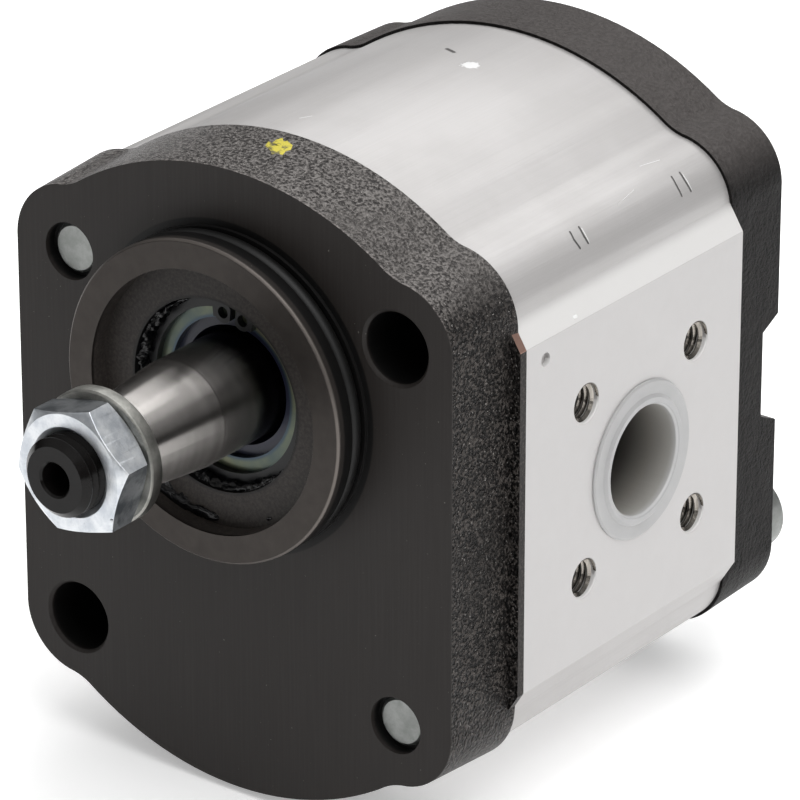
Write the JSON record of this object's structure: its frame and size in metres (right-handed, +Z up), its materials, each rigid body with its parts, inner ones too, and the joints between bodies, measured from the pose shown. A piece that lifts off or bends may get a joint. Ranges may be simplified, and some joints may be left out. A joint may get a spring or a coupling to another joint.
{
  "type": "external gear pump",
  "caption": "External gear pump with a flanged cast front cover, extruded body, side ports with shipping plugs and a keyed taper shaft with nut.",
  "frame": {"origin": "drive shaft's axis in the plane of the mounting face", "axes": "+X towards the suction port, +Y along the shaft from the mounting face to the rear cover, +Z up, from the driven gear towards the drive gear"},
  "size_m": [0.0866, 0.1333, 0.1014],
  "materials": {
    "front_casting": "machined face with a thin black coat, rough cast sides",
    "rear_casting": "fine cast skin with a thin dark coat",
    "extruded_aluminium": "satin extrusion, milled port faces",
    "ground_steel": "hardened and ground",
    "bright_zinc": "bright zinc plate",
    "dull_zinc": "dull zinc plate",
    "yellow_zinc": "yellow passivated zinc plate",
    "spring_steel": "plain spring steel",
    "black_spring_steel": "phosphated and oiled",
    "bearing_aluminium": "machined",
    "bush_bronze": "steel-backed bronze liner",
    "blue_seal_rubber": "smooth",
    "black_rubber": "smooth, slightly oily",
    "backup_plastic": "natural",
    "plug_plastic": "milky, slightly translucent"
  },
  "bodies": {
    "housing": {"front_cover": "front_casting", "pump_body": "extruded_aluminium", "rear_cover": "rear_casting", "front_bearing_block": "bearing_aluminium", "rear_bearing_block": "bearing_aluminium", "front_drive_bush": "bush_bronze", "front_driven_bush": "bush_bronze", "rear_drive_bush": "bush_bronze", "rear_driven_bush": "bush_bronze", "shaft_seal": "blue_seal_rubber", "seal_garter_spring": "spring_steel", "support_ring": "yellow_zinc", "retaining_ring": "black_spring_steel", "pilot_o_ring": "black_rubber", "front_body_seal": "black_rubber", "rear_body_seal": "black_rubber", "front_field_seal": "black_rubber", "rear_field_seal": "black_rubber", "front_backup_ring": "backup_plastic", "rear_backup_ring": "backup_plastic", "assembly_bolts": "dull_zinc", "bolt_washers": "dull_zinc", "front_dowels": "ground_steel", "rear_dowels": "ground_steel"},
    "drive_shaft": {"drive_gear_shaft": "ground_steel", "woodruff_key": "ground_steel", "shaft_nut": "bright_zinc", "spring_washer": "spring_steel"},
    "driven_shaft": {"driven_gear_shaft": "ground_steel"},
    "suction_cap": {"suction_plug": "plug_plastic"},
    "pressure_cap": {"pressure_plug": "plug_plastic"}
  },
  "joints": [
    {"name": "drive_shaft_turn", "type": "hinge", "parent": "housing", "child": "drive_shaft", "pos_m": [0, 0, 0], "axis": [0, 1, 0], "continuous": true},
    {"name": "driven_shaft_turn", "type": "hinge", "parent": "housing", "child": "driven_shaft", "pos_m": [0, 0, -0.032], "axis": [0, 1, 0], "continuous": true},
    {"name": "suction_plug_pull", "type": "slide", "parent": "housing", "child": "suction_cap", "axis": [1, 0, 0], "range_m": [0, 0.03]},
    {"name": "pressure_plug_pull", "type": "slide", "parent": "housing", "child": "pressure_cap", "axis": [-1, 0, 0], "range_m": [0, 0.03]}
  ],
  "couplings": [
    {"joint": "driven_shaft_turn", "follows": "drive_shaft_turn", "ratio": -1}
  ]
}
